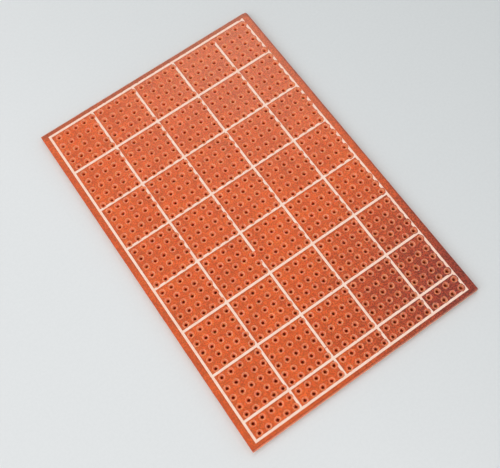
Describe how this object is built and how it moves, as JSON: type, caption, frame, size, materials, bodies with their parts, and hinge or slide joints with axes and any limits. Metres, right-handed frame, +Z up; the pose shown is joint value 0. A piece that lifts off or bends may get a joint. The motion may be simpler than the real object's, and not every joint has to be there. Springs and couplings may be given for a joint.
{
  "type": "prototype board",
  "caption": "Flat punched laminate board with a square lattice of lead holes, a printed grid of cells on the component side and copper ring pads underneath.",
  "frame": {"origin": "centre of the underside, where the board lies on a surface", "axes": "+X across the columns of holes, +Y along the board, +Z up towards the component side"},
  "size_m": [0.0654, 0.0974, 0.0016],
  "materials": {
    "laminate": "orange-red paper laminate, satin gloss",
    "copper": "copper foil under a thin flux lacquer",
    "ink": "thin printed ink, pinkish white"
  },
  "bodies": {
    "root": {"laminate_board": "laminate", "copper_pads": "copper", "printed_grid": "ink"}
  },
  "joints": []
}
